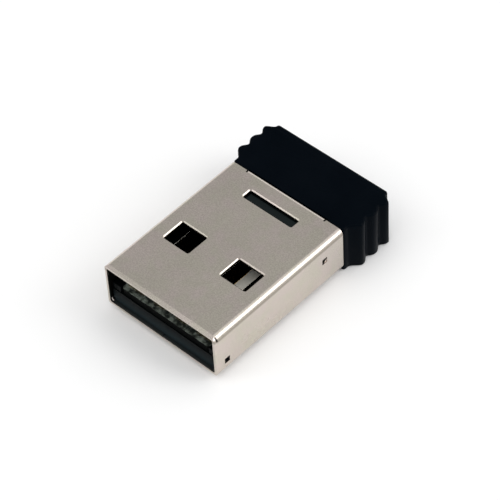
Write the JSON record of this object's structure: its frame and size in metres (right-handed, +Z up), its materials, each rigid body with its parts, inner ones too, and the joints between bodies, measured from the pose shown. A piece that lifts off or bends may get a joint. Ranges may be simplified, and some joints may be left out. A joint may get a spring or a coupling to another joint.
{
  "type": "usb bluetooth adapter",
  "caption": "Nano radio adapter: a folded steel plug shell over a board with four contacts, and a short black cap with scalloped grips at its sides.",
  "frame": {"origin": "middle of the base of the overall box, under the middle of the plug", "axes": "+X across the plug to the right, +Y from the mouth towards the cap, +Z up through the side that faces the contacts"},
  "size_m": [0.0134, 0.0204, 0.0049],
  "materials": {
    "plated_steel": "satin nickel plating on folded sheet",
    "cap_plastic": "fine satin moulding",
    "moulding_plastic": "satin moulding",
    "board_laminate": "glass-fibre board with clear lacquer",
    "gold_contact": "polished gold plating",
    "chip_epoxy": "fine matt moulding compound",
    "crystal_can": "nickel-plated lid",
    "antenna_ceramic": "unglazed",
    "filter_ceramic": "unglazed",
    "inductor_ceramic": "unglazed",
    "ferrite": "unglazed",
    "capacitor_body": "unglazed, tinned ends",
    "resistor_body": "dark film on ceramic, tinned ends"
  },
  "bodies": {
    "root": {"usb_shell": "plated_steel", "cap": "cap_plastic", "board_carrier": "moulding_plastic", "cover_block": "moulding_plastic", "circuit_board": "board_laminate", "power_contact": "gold_contact", "data_minus_contact": "gold_contact", "data_plus_contact": "gold_contact", "ground_contact": "gold_contact", "radio_chip": "chip_epoxy", "memory_chip": "chip_epoxy", "voltage_regulator": "chip_epoxy", "crystal": "crystal_can", "ceramic_antenna": "antenna_ceramic", "band_filter": "filter_ceramic", "antenna_inductor": "inductor_ceramic", "antenna_capacitor": "capacitor_body", "ferrite_bead": "ferrite", "supply_capacitor": "capacitor_body", "regulator_capacitor": "capacitor_body", "decoupling_capacitor_1": "capacitor_body", "decoupling_capacitor_2": "capacitor_body", "decoupling_capacitor_3": "capacitor_body", "decoupling_capacitor_4": "capacitor_body", "decoupling_capacitor_5": "capacitor_body", "decoupling_capacitor_6": "capacitor_body", "crystal_capacitor_1": "capacitor_body", "crystal_capacitor_2": "capacitor_body", "data_plus_resistor": "resistor_body", "data_minus_resistor": "resistor_body", "pull_up_resistor": "resistor_body"}
  },
  "joints": []
}
